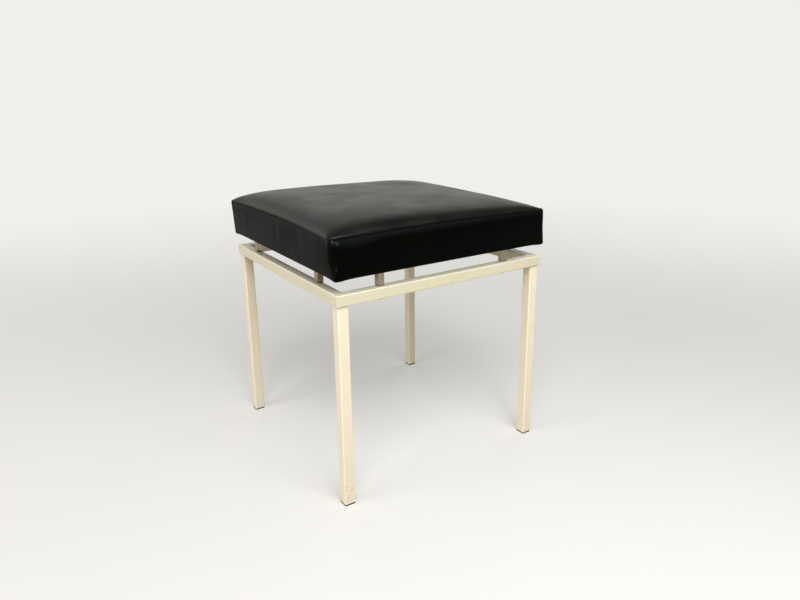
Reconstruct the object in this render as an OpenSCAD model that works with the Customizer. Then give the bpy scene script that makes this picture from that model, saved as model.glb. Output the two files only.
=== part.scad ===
// Fitting stool: a welded frame of square tube carries a square box cushion on short square spacers.
// The origin is on the floor under the middle of the stool, +Z up and -Y the front.

/* [Frame] */
// Width of the frame over its rails, along X
frame_w = 450; // [350:5:600]
// Depth of the frame over its rails, along Y
frame_d = 450; // [350:5:600]
// Height of the rails' top face above the floor
rail_top = 385; // [300:5:480]
// Side of the square tube
tube = 20; // [16:1:28]
// Wall of the tube
tube_wall = 1.5; // [1:0.1:2]
// Outer corner radius of the tube
tube_round = 2.2; // [2.2:0.1:3.6]
// Radius ground on the ring's outer upright corners
ring_round = 1.2; // [0.5:0.1:3]
// How far each leg stands in from the rails' outer faces
leg_inset = 3; // [1:0.5:5]
// Leg length of the weld beads between a leg and the rails above it
weld = 2.5; // [1.5:0.5:4]

/* [Foot caps] */
// Thickness of the cap's flange, which the stool stands on
cap_flange = 2.5; // [1.5:0.5:5]
// Depth of the cap's plug inside the leg
cap_depth = 18; // [12:1:30]
// Wall of the hollow plug
cap_wall = 1.6; // [1:0.1:2.5]
// Gap between the plug's fins and the inside of the leg
cap_fit = 0.1; // [0.05:0.05:0.3]
// How far the fins stand out from the plug
cap_fin = 0.8; // [0.4:0.1:1.2]
// Thickness of a fin
cap_fin_t = 1; // [0.6:0.1:1.5]

/* [Spacers and screws] */
// Side of a square spacer
spacer_w = 12; // [10:0.5:14]
// Height of a spacer, which is the gap under the cushion
spacer_h = 26; // [10:1:45]
// Radius of a spacer's upright edges
spacer_round = 1; // [0.5:0.1:2]
// Chamfer round a spacer's ends
spacer_chamfer = 0.4; // [0.2:0.1:0.8]
// Bore of a spacer
spacer_bore = 6.5; // [6:0.1:7.5]
// How far the spacers stand back from the rails' inner faces
spacer_back = 0.5; // [0:0.5:4]
// Distance from a corner of the frame to the middle of the first spacer, along the rail
spacer_corner = 88; // [50:2:130]
// Diameter of the screws
screw_d = 5; // [4:0.5:5.5]
// How far a screw bites into the seat board
screw_bite = 12; // [8:1:14]
// Length of a screw's point
screw_point = 4; // [2:0.5:5]
// Diameter of the screw head
head_d = 10; // [8:0.5:11]
// Height of the screw head
head_h = 3.4; // [2.5:0.1:4]
// Diameter of the washer under the head
washer_d = 12; // [11:0.5:13]
// Thickness of the washer
washer_t = 1.2; // [0.8:0.1:2]
// Radial play of a screw in the holes it passes
screw_play = 0.5; // [0.3:0.1:0.6]
// Radial play of a screw in its hole in the board
screw_fit = 0.05; // [0.02:0.01:0.1]

/* [Cushion] */
// How far the piping stands out past the frame's outer faces
overhang = 1.5; // [0:0.5:10]
// Height of the border, from its underside to the seam at a corner
border_h = 66.5; // [50:0.5:90]
// Rise of the seam in the middle of a side over its corners
seam_bow = 2.5; // [0:0.5:6]
// Rise of the crown over the seam
crown = 22; // [8:1:35]
// How far the middle of a side is drawn in at the seam
side_draw = 2.4; // [0:0.2:5]
// Plan radius of the upright corners at the underside
base_corner = 9; // [7:0.5:20]
// Plan radius of the seam's corners
seam_corner = 4; // [3:0.5:8]
// Radius of the border's lower edge, where it turns under the board
turn_round = 6; // [3:0.5:9]
// Thickness of the cover material
cover_t = 1.2; // [0.8:0.1:1.6]
// Diameter of the piping
piping_d = 3; // [2:0.5:5]
// How far the piping stands out past the border
piping_proud = 0.7; // [0.2:0.1:1.5]
// Thickness of the wadding
wadding_t = 3.2; // [2:0.2:5]
// Gap between one soft layer and the next
soft_gap = 0.3; // [0.2:0.05:0.5]

/* [Seat board and underside] */
// Thickness of the plywood board
board_t = 18; // [15:1:25]
// Thickness of the dust cover
dust_t = 0.6; // [0.4:0.1:1]
// Gap between the spacers and the dust cover's edge
dust_gap = 5; // [2:0.5:12]
// Plan radius of the dust cover's corners
dust_corner = 12; // [5:1:30]
// Width of a staple
staple_w = 10; // [8:0.5:12]
// Thickness of the staple's wire
staple_wire = 0.8; // [0.6:0.1:1]
// Length of a staple's legs in the board
staple_leg = 6; // [4:0.5:8]
// Radial play of a staple in its slots
staple_play = 0.1; // [0.05:0.05:0.2]
// Distance from the dust cover's edge to its staples
staple_edge = 4.5; // [3:0.5:6]
// Distance from the dust cover's staples to those of the leather cover
staple_row = 12; // [8:1:14]
// How far the turned-under cover reaches in past its staples
turn_margin = 4; // [2:0.5:10]
// Staples along one side of the leather cover
cover_staple_count = 9; // [5:1:12]
// Staples along one side of the dust cover
dust_staple_count = 6; // [4:1:9]

/* [Hidden] */

PAINT = "#e8dfc3";
CAP_BLACK = "#1b1b1c";
NICKEL = "#b9b5ab";
ZINC = "#9a9c9f";
PLY = "#c79b62";
FOAM = "#e6d8a0";
WADDING = "#f0efe8";
LEATHER = "#26251f";
PIPING = "#1f1e1a";
DUST_CLOTH = "#151516";
STAPLE = "#8e9092";

// Overrun of a cutting shape past the face that it cuts
over = 1;
$fn = 48;

rail_under = rail_top - tube;
bore_inside = tube - 2 * tube_wall;
inner_round = tube_round - tube_wall;
leg_x = frame_w / 2 - leg_inset - tube / 2;
leg_y = frame_d / 2 - leg_inset - tube / 2;
spacer_x = frame_w / 2 - spacer_corner;
spacer_y = frame_d / 2 - spacer_corner;
// Distance from a rail's outer face to the middle of its spacers, and the two lines of spacers
spacer_in = tube - spacer_back - spacer_w / 2;
line_x = frame_w / 2 - spacer_in;
line_y = frame_d / 2 - spacer_in;
passing_d = screw_d + 2 * screw_play;

// Heights of the cushion's layers
base_z = rail_top + spacer_h;
board_z = base_z + cover_t;
board_top = board_z + board_t;
seam_z = base_z + border_h;
screw_len = washer_t + tube + spacer_h + cover_t + screw_bite;

// Half sizes of the cushion in plan, over the border's outer face
half_x = frame_w / 2 + overhang - piping_proud;
half_y = frame_d / 2 + overhang - piping_proud;
piping_r = piping_d / 2;
// Insets of the layers from the border's outer face
piping_in = piping_r - piping_proud;
panel_in = piping_in + piping_r + soft_gap / 2;
wadding_in = cover_t + soft_gap;
wadding_back = wadding_in + wadding_t;
foam_in = wadding_back + soft_gap;
board_in = max(foam_in, turn_round + soft_gap);
// Drops of the layers' tops under the crown's outer surface
wadding_drop = cover_t + soft_gap;
wadding_under = wadding_drop + wadding_t;
foam_drop = wadding_under + soft_gap;
least_corner = seam_corner / 2;

// The crown swells steeply beside the seam and flattens towards the middle
crown_power_share = 4.7;
crown_swell_share = 0.36;
ring_shares = [1, 0.985, 0.955, 0.9, 0.8, 0.62, 0.4, 0.2];
wall_shares = [0.35, 0.7, 1];
corner_steps = 4;
side_steps = 8;
turn_steps = 3;
piping_sides = 8;
fin_shares = [0.25, 0.55, 0.85];
weld_bulge_share = 0.62;
cross_long_share = 0.52;
cross_wide_share = 0.13;
cross_deep_share = 0.6;
dome_share = 0.45;

// The dust cover, the two rows of staples and the edge of the turned-under cover
dust_x = line_x - spacer_w / 2 - dust_gap;
dust_y = line_y - spacer_w / 2 - dust_gap;
dust_row_x = dust_x - staple_edge;
dust_row_y = dust_y - staple_edge;
cover_row_x = dust_row_x - staple_row;
cover_row_y = dust_row_y - staple_row;
turn_under = half_x - cover_row_x + turn_margin;

// A rectangle with round corners, centred
module round_rect(w, d, r) {
    square([w - 2 * r, d], center = true);
    square([w, d - 2 * r], center = true);
    for (x = [-1, 1], y = [-1, 1])
        translate([x * (w / 2 - r), y * (d / 2 - r)]) circle(r = r);
}

// Section of the square tube
module tube_section() {
    difference() {
        round_rect(tube, tube, tube_round);
        round_rect(bore_inside, bore_inside, inner_round);
    }
}

// A rail along X: its length, and the distance from the middle of the frame to its outer face
module rail(len, reach) {
    color(PAINT)
    difference() {
        intersection() {
            translate([-len / 2 - over, -reach + tube / 2, rail_top - tube / 2])
                rotate([90, 0, 90])
                linear_extrude(len + 2 * over) tube_section();
            translate([0, 0, rail_under - over])
                linear_extrude(tube + 2 * over)
                intersection() {
                    polygon([
                        [-len / 2, -reach], [len / 2, -reach],
                        [len / 2 - tube, tube - reach], [tube - len / 2, tube - reach]
                    ]);
                    round_rect(len, 2 * reach, ring_round);
                }
        }
        for (x = [-1, 1])
            translate([x * (len / 2 - spacer_corner), spacer_in - reach, rail_under - over])
                cylinder(h = tube + 2 * over, d = passing_d);
    }
}

// A leg under the corner that the signs name
module leg(sx, sy) {
    color(PAINT)
    translate([sx * leg_x, sy * leg_y, cap_flange])
        linear_extrude(rail_under - cap_flange) tube_section();
}

// A bead along Y that fills the angle between an upright face and the underside above it
module weld_bead(len) {
    rotate([90, 0, 0])
        translate([0, 0, -len / 2])
        linear_extrude(len)
        polygon([
            [0, 0], [-weld, 0],
            [-weld * weld_bulge_share, -weld * weld_bulge_share],
            [0, -weld]
        ]);
}

// Two beads on the leg's inner faces, and one on its top where it stands inside the ring
module leg_welds() {
    bead = tube - leg_inset - 2 * tube_round;
    bead_x = frame_w / 2 - leg_inset - tube_round - bead / 2;
    bead_y = frame_d / 2 - leg_inset - tube_round - bead / 2;
    color(PAINT)
    for (sx = [0, 1], sy = [0, 1])
        mirror([sx, 0, 0]) mirror([0, sy, 0]) {
            translate([leg_x - tube / 2, bead_y, rail_under]) weld_bead(bead);
            translate([bead_x, leg_y - tube / 2, rail_under])
                rotate([0, 0, 90]) mirror([0, 1, 0]) weld_bead(bead);
            translate([leg_x - tube / 2, leg_y - tube / 2, rail_under])
                intersection() {
                    cube(leg_inset);
                    translate([leg_inset, leg_inset, 0]) cylinder(h = leg_inset, r = leg_inset);
                }
        }
}

// A plastic plug with fins, and the flange that the leg stands on
module foot_cap(sx, sy) {
    fin = bore_inside - 2 * cap_fit;
    plug = fin - 2 * cap_fin;
    color(CAP_BLACK)
    translate([sx * leg_x, sy * leg_y, 0])
    difference() {
        union() {
            linear_extrude(cap_flange) round_rect(tube, tube, tube_round);
            linear_extrude(cap_flange + cap_depth) round_rect(plug, plug, inner_round);
            for (share = fin_shares)
                translate([0, 0, cap_flange + cap_depth * share - cap_fin_t / 2])
                    linear_extrude(cap_fin_t) round_rect(fin, fin, inner_round);
        }
        translate([0, 0, cap_flange])
            linear_extrude(cap_depth + over)
            square(plug - 2 * cap_wall, center = true);
    }
}

// A square bar along Z whose ends are chamfered on the two faces square to X
module chamfered_bar() {
    half = spacer_w / 2;
    rotate([90, 0, 0])
        translate([0, 0, -half])
        linear_extrude(spacer_w)
        polygon([
            [spacer_chamfer - half, 0], [half - spacer_chamfer, 0],
            [half, spacer_chamfer], [half, spacer_h - spacer_chamfer],
            [half - spacer_chamfer, spacer_h], [spacer_chamfer - half, spacer_h],
            [-half, spacer_h - spacer_chamfer], [-half, spacer_chamfer]
        ]);
}

// A drilled square spacer that stands on a rail at the given place
module spacer(x, y) {
    color(NICKEL)
    translate([x, y, rail_top])
    difference() {
        intersection() {
            linear_extrude(spacer_h) round_rect(spacer_w, spacer_w, spacer_round);
            chamfered_bar();
            rotate([0, 0, 90]) chamfered_bar();
        }
        translate([0, 0, -over]) cylinder(h = spacer_h + 2 * over, d = spacer_bore);
    }
}

// Places its children at every spacer
module at_spacers() {
    for (sx = [-1, 1], sy = [-1, 1]) {
        translate([sx * spacer_x, sy * line_y, 0]) children();
        translate([sx * line_x, sy * spacer_y, 0]) children();
    }
}

// One pan head screw, its head under the washer
module seat_screw() {
    translate([0, 0, rail_under - washer_t])
    difference() {
        rotate_extrude()
            polygon([
                [0, -head_h], [head_d / 2 * dome_share, -head_h],
                [head_d / 2, -head_h * dome_share], [head_d / 2, 0],
                [screw_d / 2, 0], [screw_d / 2, screw_len - screw_point],
                [0, screw_len]
            ]);
        for (turn = [0, 90])
            rotate([0, 0, turn])
            translate([0, 0, -head_h])
            cube([head_d * cross_long_share, head_d * cross_wide_share, 2 * head_h * cross_deep_share],
                 center = true);
    }
}

module seat_screws() {
    color(ZINC) at_spacers() seat_screw();
}

module screw_washers() {
    color(ZINC)
    at_spacers()
        translate([0, 0, rail_under - washer_t])
        difference() {
            cylinder(h = washer_t, d = washer_d);
            translate([0, 0, -over]) cylinder(h = washer_t + 2 * over, d = passing_d);
        }
}

// Places its children at the staples of one row: half sizes of the row, and its count on a side
module at_staples(reach_x, reach_y, count) {
    for (side = [0:3]) {
        reach = side % 2 == 0 ? reach_y : reach_x;
        run = side % 2 == 0 ? reach_x : reach_y;
        pitch = 2 * (run - staple_w) / (count - 1);
        for (i = [0:count - 1])
            rotate([0, 0, 90 * side])
            translate([staple_w - run + pitch * i, -reach, 0]) children();
    }
}

module at_cover_staples() {
    at_staples(cover_row_x, cover_row_y, cover_staple_count) children();
}

module at_dust_staples() {
    at_staples(dust_row_x, dust_row_y, dust_staple_count) children();
}

// A staple whose crown's upper face is at height z, widened by the play for its slots
module staple(z, play) {
    wire = staple_wire + 2 * play;
    width = staple_w + 2 * play;
    top = board_z + staple_leg + play;
    translate([-width / 2, -wire / 2, z - staple_wire - play]) cube([width, wire, wire]);
    for (x = [-width / 2, width / 2 - wire])
        translate([x, -wire / 2, z - staple_wire - play])
            cube([wire, wire, top - z + staple_wire + play]);
}

module cover_staples() {
    color(STAPLE) at_cover_staples() staple(base_z + staple_wire, 0);
}

module dust_cover_staples() {
    color(STAPLE) at_dust_staples() staple(base_z - dust_t, 0);
}

// Everything that the two rows of staples need cut
module staple_slots() {
    at_cover_staples() staple(base_z + staple_wire, staple_play);
    at_dust_staples() staple(base_z - dust_t, staple_play);
}

module seat_board() {
    color(PLY)
    difference() {
        translate([0, 0, board_z])
            linear_extrude(board_t)
            round_rect(2 * (half_x - board_in), 2 * (half_y - board_in),
                       max(base_corner - board_in, least_corner));
        at_spacers()
            translate([0, 0, board_z - over])
            cylinder(h = screw_bite + 2 * over, d = screw_d + 2 * screw_fit);
        staple_slots();
    }
}

module dust_cover() {
    color(DUST_CLOTH)
    difference() {
        translate([0, 0, base_z - dust_t])
            linear_extrude(dust_t) round_rect(2 * dust_x, 2 * dust_y, dust_corner);
        at_dust_staples() staple(base_z - dust_t, staple_play);
    }
}

// The stations round the cushion, as [corner, angle, share of the side that follows]
stations = [
    for (k = [0:3]) each concat(
        [for (i = [0:corner_steps]) [k, 90 * k + 90 * i / corner_steps, 0]],
        [for (j = [1:side_steps - 1]) [k, 90 * (k + 1), j / side_steps]]
    )
];
count = len(stations);

// The middle of a corner's arc, and a station's place on a round rectangle
function arc_middle(k, hx, hy, r) =
    [(k == 0 || k == 3 ? 1 : -1) * (hx - r), (k < 2 ? 1 : -1) * (hy - r)];
function on_outline(s, hx, hy, r) =
    let (here = arc_middle(s[0], hx, hy, r), next = arc_middle((s[0] + 1) % 4, hx, hy, r))
    here + s[2] * (next - here) + r * [cos(s[1]), sin(s[1])];

// The station's place on a square of half side 1, which tells how near it is to a corner
function on_square(s) =
    let (p = on_outline(s, half_x, half_y, seam_corner), u = p.x / half_x, v = p.y / half_y)
    [u, v] / max(abs(u), abs(v));

// Plan of one layer at an inset from the border's face, drawn in between the corners
function plan(s, inset, corner, draw) =
    let (hx = half_x - inset, hy = half_y - inset,
         p = on_outline(s, hx, hy, max(corner - inset, least_corner)), q = on_square(s))
    [p.x * (1 - draw / hx * (1 - q.y ^ 2)), p.y * (1 - draw / hy * (1 - q.x ^ 2))];

// Height of the seam at a station, and of the crown inside it at a share of the way out
function seam_at(q) = seam_z + seam_bow * (1 - q.x ^ 2 * q.y ^ 2);
function swell(q) =
    ((1 - abs(q.x) ^ crown_power_share) * (1 - abs(q.y) ^ crown_power_share)) ^ crown_swell_share;
function crown_at(q) = seam_at(q) + crown * swell(q);

// A ring of the crowned top: its share of the way out, and its drop under the outer surface
function top_ring(share, inset, drop) = [
    for (s = stations)
        let (p = share * plan(s, inset, seam_corner + inset / 2, side_draw), q = share * on_square(s))
        [p.x, p.y, crown_at(q) - drop]
];

// A ring of an upright side, at a share of the way up from the turned edge to the seam
function wall_ring(share, inset, drop) = [
    for (s = stations)
        let (corner = base_corner + (seam_corner - base_corner) * share,
             p = plan(s, inset, corner, side_draw * share ^ 2),
             low = base_z + turn_round,
             high = seam_at(on_square(s)) - drop)
        [p.x, p.y, low + (high - low) * share]
];

// A level ring of the turned edge, at a height over the underside
function level_ring(inset, height) = [
    for (s = stations)
        let (p = plan(s, inset, base_corner, 0))
        [p.x, p.y, base_z + height]
];

function reversed(list) = [for (i = [len(list) - 1:-1:0]) list[i]];

// Faces between one ring and the next. A band of an inner side is split along the quads' other
// diagonal, so that both sides of a layer are split alike
function band(low, high, inner) = [
    for (i = [0:count - 1])
        let (n = (i + 1) % count)
        each inner
            ? [[low + i, high + i, low + n], [high + i, high + n, low + n]]
            : [[low + i, high + i, high + n], [low + i, high + n, low + n]]
];

// A solid of rings with a middle point under the first and over the last; the first
// inner_bands of its bands are the inner side
module ring_solid(rings, inner_bands, start, end) {
    points = concat([start], [for (r = rings) each r], [end]);
    last = 1 + count * (len(rings) - 1);
    faces = concat(
        [for (i = [0:count - 1]) [0, 1 + i, 1 + (i + 1) % count]],
        [for (k = [0:len(rings) - 2])
            each band(1 + k * count, 1 + (k + 1) * count, k < inner_bands)],
        [for (i = [0:count - 1]) [len(points) - 1, last + (i + 1) % count, last + i]]
    );
    polyhedron(points, faces);
}

// A solid of rings that close on themselves, the first outer_bands of its bands the outer side
module ring_loop(rings, outer_bands) {
    points = [for (r = rings) each r];
    faces = [
        for (k = [0:len(rings) - 1])
            each band(k * count, ((k + 1) % len(rings)) * count, k >= outer_bands)
    ];
    polyhedron(points, faces);
}

function middle(drop) = [0, 0, crown_at([0, 0]) - drop];
function top_rings(inset, drop) = [for (share = ring_shares) top_ring(share, inset, drop)];

module foam_pad() {
    color(FOAM)
    ring_solid(
        concat(
            [level_ring(foam_in, board_top - base_z)],
            [wall_ring(wall_shares[1], foam_in, foam_drop)],
            top_rings(foam_in, foam_drop)
        ),
        0, [0, 0, board_top], middle(foam_drop)
    );
}

module wadding() {
    inner = concat(
        [level_ring(wadding_back, turn_round)],
        [for (k = [0, 1]) wall_ring(wall_shares[k], wadding_back, foam_drop)],
        top_rings(wadding_back, wadding_under)
    );
    outer = concat(
        [level_ring(wadding_in, turn_round)],
        [for (share = wall_shares) wall_ring(share, wadding_in, piping_d)],
        top_rings(panel_in, wadding_drop)
    );
    color(WADDING)
    ring_solid(
        concat(reversed(inner), outer), len(inner) - 1,
        middle(wadding_under), middle(wadding_drop)
    );
}

module cover_top() {
    color(LEATHER)
    ring_solid(
        concat(reversed(top_rings(panel_in, cover_t)), top_rings(panel_in, 0)),
        len(ring_shares) - 1, middle(cover_t), middle(0)
    );
}

module cover_border() {
    seam_drop = piping_r + soft_gap / 2;
    steps = [for (i = [0:turn_steps]) 90 * i / turn_steps];
    inside = turn_round - cover_t;
    outer = concat(
        [level_ring(turn_under, 0)],
        [for (a = steps) level_ring(turn_round * (1 - sin(a)), turn_round * (1 - cos(a)))],
        [for (share = wall_shares) wall_ring(share, 0, seam_drop)]
    );
    inner = concat(
        [level_ring(turn_under, cover_t)],
        [for (a = steps)
            level_ring(turn_round - inside * sin(a), turn_round - inside * cos(a))],
        [for (share = wall_shares) wall_ring(share, cover_t, seam_drop)]
    );
    color(LEATHER)
    difference() {
        ring_loop(concat(outer, reversed(inner)), len(outer) - 1);
        at_spacers()
            translate([0, 0, base_z - over])
            cylinder(h = cover_t + 2 * over, d = passing_d);
        staple_slots();
    }
}

module seam_piping() {
    color(PIPING)
    ring_loop([
        for (j = [0:piping_sides - 1])
            let (a = 360 * j / piping_sides - 90, out = piping_r * cos(a))
            [for (s = stations)
                let (p = plan(s, piping_in - out, seam_corner + piping_in, side_draw))
                [p.x, p.y, seam_at(on_square(s)) + piping_r * sin(a)]]
    ], piping_sides);
}

rail(frame_w, frame_d / 2);  // front_rail
rotate([0, 0, 180]) rail(frame_w, frame_d / 2);  // back_rail
rotate([0, 0, -90]) rail(frame_d, frame_w / 2);  // left_rail
rotate([0, 0, 90]) rail(frame_d, frame_w / 2);  // right_rail
leg(-1, -1);  // leg_front_left
leg(1, -1);  // leg_front_right
leg(-1, 1);  // leg_back_left
leg(1, 1);  // leg_back_right
leg_welds();
foot_cap(-1, -1);  // foot_cap_front_left
foot_cap(1, -1);  // foot_cap_front_right
foot_cap(-1, 1);  // foot_cap_back_left
foot_cap(1, 1);  // foot_cap_back_right
spacer(-spacer_x, -line_y);  // spacer_front_left
spacer(spacer_x, -line_y);  // spacer_front_right
spacer(-spacer_x, line_y);  // spacer_back_left
spacer(spacer_x, line_y);  // spacer_back_right
spacer(-line_x, -spacer_y);  // spacer_left_front
spacer(-line_x, spacer_y);  // spacer_left_back
spacer(line_x, -spacer_y);  // spacer_right_front
spacer(line_x, spacer_y);  // spacer_right_back
seat_screws();
screw_washers();
seat_board();
foam_pad();
wadding();
cover_top();
cover_border();
seam_piping();
cover_staples();
dust_cover();
dust_cover_staples();
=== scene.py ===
import math

import bmesh
import bpy
import numpy as np
from mathutils import Matrix, Vector


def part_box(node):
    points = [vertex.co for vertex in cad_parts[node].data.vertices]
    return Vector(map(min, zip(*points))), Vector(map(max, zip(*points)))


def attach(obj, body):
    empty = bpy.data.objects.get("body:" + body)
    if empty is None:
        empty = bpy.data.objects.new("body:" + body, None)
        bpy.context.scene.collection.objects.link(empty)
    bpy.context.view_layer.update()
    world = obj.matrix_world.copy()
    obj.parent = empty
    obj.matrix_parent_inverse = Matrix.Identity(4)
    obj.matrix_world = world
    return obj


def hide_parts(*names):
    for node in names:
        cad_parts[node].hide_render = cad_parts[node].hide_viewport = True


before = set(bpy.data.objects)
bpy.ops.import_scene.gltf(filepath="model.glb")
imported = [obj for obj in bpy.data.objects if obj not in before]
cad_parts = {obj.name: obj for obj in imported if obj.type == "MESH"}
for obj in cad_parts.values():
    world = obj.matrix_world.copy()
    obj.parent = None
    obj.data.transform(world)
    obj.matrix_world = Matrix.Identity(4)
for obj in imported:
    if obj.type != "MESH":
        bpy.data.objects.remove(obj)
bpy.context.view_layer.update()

scene = bpy.context.scene
MM = 0.001

# Camera: where it stands in metres, how it is turned in degrees, and its lens in the photograph's pixels
PHOTO_WIDTH = 800
PHOTO_HEIGHT = 600
EYE = (-0.6501, -1.0538, 0.6852)
TURN_FROM_X = 56.205
LOOK_DOWN = 15.302
ROLL = -0.591
FOCAL_PX = 619.0
AXIS_PX = (404.7, 267.3)
SENSOR_WIDTH = 36.0


def make_camera():
    turn, down, roll = (math.radians(angle) for angle in (TURN_FROM_X, LOOK_DOWN, ROLL))
    ahead = Vector((math.cos(down) * math.cos(turn), math.cos(down) * math.sin(turn), -math.sin(down)))
    level_right = Vector((math.sin(turn), -math.cos(turn), 0))
    level_up = level_right.cross(ahead)
    right = math.cos(roll) * level_right + math.sin(roll) * level_up
    up = math.cos(roll) * level_up - math.sin(roll) * level_right
    lens = bpy.data.cameras.new("photo_camera")
    lens.sensor_width = SENSOR_WIDTH
    lens.lens = FOCAL_PX * SENSOR_WIDTH / PHOTO_WIDTH
    lens.shift_x = (PHOTO_WIDTH / 2 - AXIS_PX[0]) / PHOTO_WIDTH
    lens.shift_y = (AXIS_PX[1] - PHOTO_HEIGHT / 2) / PHOTO_WIDTH
    camera = bpy.data.objects.new("photo_camera", lens)
    turned = Matrix((right, up, -ahead)).transposed()
    camera.matrix_world = Matrix.Translation(EYE) @ turned.to_4x4()
    scene.collection.objects.link(camera)
    scene.camera = camera


make_camera()

PIPING_D = 3 * MM

# Sizes read from the frame, in metres
border_low, border_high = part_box("cover_border")
piping_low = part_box("seam_piping")[0]
crown_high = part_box("cover_top")[1]
dust_low, dust_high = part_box("dust_cover")
dust_row_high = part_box("dust_cover_staples")[1]
staple_row_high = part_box("cover_staples")[1]
leg_low, leg_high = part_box("leg_front_right")
rail_low, rail_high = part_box("front_rail")
ring_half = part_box("right_rail")[1].x
washer_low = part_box("screw_washers")[0]
screw_low, screw_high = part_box("seat_screws")
spacer_low, spacer_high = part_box("spacer_front_right")

half_x = border_high.x
half_y = border_high.y
base_z = border_low.z
piping_r = PIPING_D / 2
seam_z = piping_low.z + piping_r
tube = rail_high.z - rail_low.z
leg_centre = (leg_low.x + leg_high.x) / 2


class Signal:
    """A socket whose arithmetic adds Math nodes to its tree."""

    def __init__(self, tree, socket):
        self.tree = tree
        self.socket = socket

    def math(self, operation, *others):
        values = dict(enumerate((self, *others)))
        return self.tree.node("ShaderNodeMath", {"operation": operation}, values)

    def reverse(self, operation, other):
        values = {0: other, 1: self}
        return self.tree.node("ShaderNodeMath", {"operation": operation}, values)

    def __add__(self, other):
        return self.math("ADD", other)

    def __radd__(self, other):
        return self.reverse("ADD", other)

    def __sub__(self, other):
        return self.math("SUBTRACT", other)

    def __rsub__(self, other):
        return self.reverse("SUBTRACT", other)

    def __mul__(self, other):
        return self.math("MULTIPLY", other)

    def __rmul__(self, other):
        return self.reverse("MULTIPLY", other)

    def __truediv__(self, other):
        return self.math("DIVIDE", other)

    def __abs__(self):
        return self.math("ABSOLUTE")

    def rise(self, low, high):
        """0 below low and 1 above high, smooth between; low may be above high."""
        steps = {"interpolation_type": "SMOOTHSTEP"}
        values = {"Value": self, "From Min": low, "From Max": high}
        return self.tree.node("ShaderNodeMapRange", steps, values)


class Tree:
    """A node tree that grows by one method."""

    def __init__(self, tree):
        self.tree = tree
        self.tree.nodes.clear()

    def node(self, kind, settings=None, values=None, output=0):
        made = self.tree.nodes.new(kind)
        for name, setting in (settings or {}).items():
            setattr(made, name, setting)
        for name, value in (values or {}).items():
            if isinstance(value, Signal):
                self.tree.links.new(value.socket, made.inputs[name])
            else:
                made.inputs[name].default_value = value
        return Signal(self, made.outputs[output])


class Finish(Tree):
    """The surface of one material."""

    def __init__(self, name):
        self.material = bpy.data.materials.new(name)
        self.material.use_nodes = True
        super().__init__(self.material.node_tree)
        self.place = self.node("ShaderNodeTexCoord", output="Object")
        axes = self.node("ShaderNodeSeparateXYZ", values={0: self.place}).socket.node
        self.x, self.y, self.z = (Signal(self, socket) for socket in axes.outputs)

    def grain(self, size, detail=2.0, roughness=0.5, stretch=(1, 1, 1)):
        """Noise whose lumps are about `size` metres across, divided by the stretch along each axis."""
        place = self.node("ShaderNodeMapping", values={"Vector": self.place, "Scale": stretch})
        values = {"Vector": place, "Scale": 1 / size, "Detail": detail, "Roughness": roughness}
        return self.node("ShaderNodeTexNoise", values=values)

    def cells(self, size, feature="F1", output="Distance"):
        """Cells about `size` metres across."""
        values = {"Vector": self.place, "Scale": 1 / size}
        return self.node("ShaderNodeTexVoronoi", {"feature": feature}, values, output)

    def spot(self, centre, radius, soft=0.5, stretch=(1, 1, 1)):
        """1 inside a ball about a point of the object, falling to 0 over its soft outer part."""
        place = self.node("ShaderNodeVectorMath", {"operation": "SUBTRACT"}, {0: self.place, 1: centre})
        place = self.node("ShaderNodeVectorMath", {"operation": "MULTIPLY"}, {0: place, 1: stretch})
        away = self.node("ShaderNodeVectorMath", {"operation": "LENGTH"}, {0: place}, "Value")
        return away.rise(radius, radius * (1 - soft))

    def blend(self, share, first, second):
        """The first colour where share is 0, and the second where it is 1."""
        values = {0: share, 6: first, 7: second}
        return self.node("ShaderNodeMix", {"data_type": "RGBA"}, values, 2)

    def bump(self, height, depth):
        """A normal tilted by a height that reaches `depth` metres at 1."""
        return self.node("ShaderNodeBump", values={"Height": height, "Distance": depth, "Strength": 1.0})

    def coat(self, **values):
        """Ends the tree with a Principled surface; a name's underscores stand for spaces."""
        named = {name.replace("_", " "): value for name, value in values.items()}
        shader = self.node("ShaderNodeBsdfPrincipled", values=named)
        self.node_out(shader)
        return self.material

    def node_out(self, shader):
        out = self.tree.nodes.new("ShaderNodeOutputMaterial")
        self.tree.links.new(shader.socket, out.inputs["Surface"])


def rgb(red, green, blue):
    return (red, green, blue, 1.0)


# Finishes. Colours are linear
LEG_CREAM = rgb(0.88, 0.815, 0.66), rgb(0.84, 0.76, 0.585)
# The rails' cream is darker than the legs': painted shade from the cushion above them, with a slightly
# greener tone
SHADED_RAIL_CREAM = rgb(0.70, 0.665, 0.51), rgb(0.65, 0.605, 0.445)
CHIP_TONE = rgb(0.20, 0.165, 0.12)
# Tone of the painted highlight along the tubes' edges, and of the pale marks
HIGHLIGHT_AND_SCUFF_TONE = rgb(0.97, 0.94, 0.84)
# Brown of the painted shade at the top of each leg, under the rails
UNDER_RAIL_SHADE_TONE = rgb(0.26, 0.19, 0.12)
# How far from a tube's middle its edge begins and is full, where it chips and is painted paler as a
# highlight
EDGE_ZONE = (8.2 * MM, 9.4 * MM)
# How far under the rails the painted shade of a leg's joint begins and is full
JOINT_ZONE = (2.2 * MM, 0.4 * MM)
# Sizes of the enamel's worn spots and their patches, ragged edges, clouds, orange peel and brush marks
WEAR_SPOT = 1.6 * MM
WEAR_PATCH = 60 * MM
RAGGED_SIZE = 1.3 * MM
CLOUD_SIZE = 90 * MM
PEEL_SIZE = 1.4 * MM
BRUSH_SIZE = 5 * MM
PAINT_RELIEF = 0.05 * MM
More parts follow.
